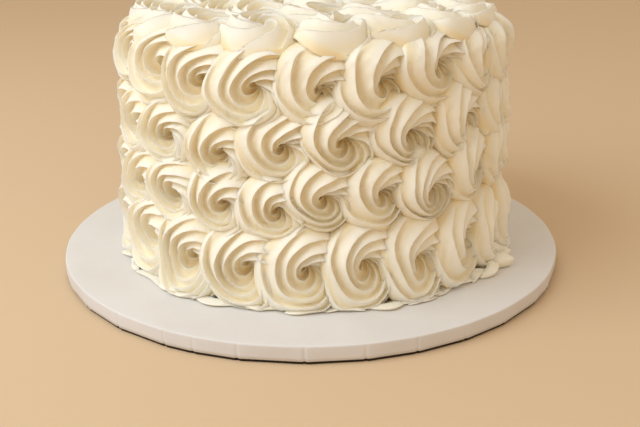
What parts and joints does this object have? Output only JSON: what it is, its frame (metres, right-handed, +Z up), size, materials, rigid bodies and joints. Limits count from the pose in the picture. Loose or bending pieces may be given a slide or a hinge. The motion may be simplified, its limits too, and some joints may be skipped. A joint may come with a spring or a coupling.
{
  "type": "wedding cake",
  "caption": "Round one-tier celebration cake covered with piped ivory buttercream rosettes, on its white drum board.",
  "frame": {"origin": "middle of the board's underside, where the board rests", "axes": "+Z up through the cake, -Y towards the viewer of the picture, +X to the viewer's right"},
  "size_m": [0.356, 0.356, 0.1886],
  "materials": {
    "buttercream": "ivory buttercream with a soft satin sheen, stands in for food",
    "board_paper": "matte white paper wrapped round a card drum"
  },
  "bodies": {
    "root": {"cake": "buttercream", "cake_board": "board_paper"}
  },
  "joints": []
}
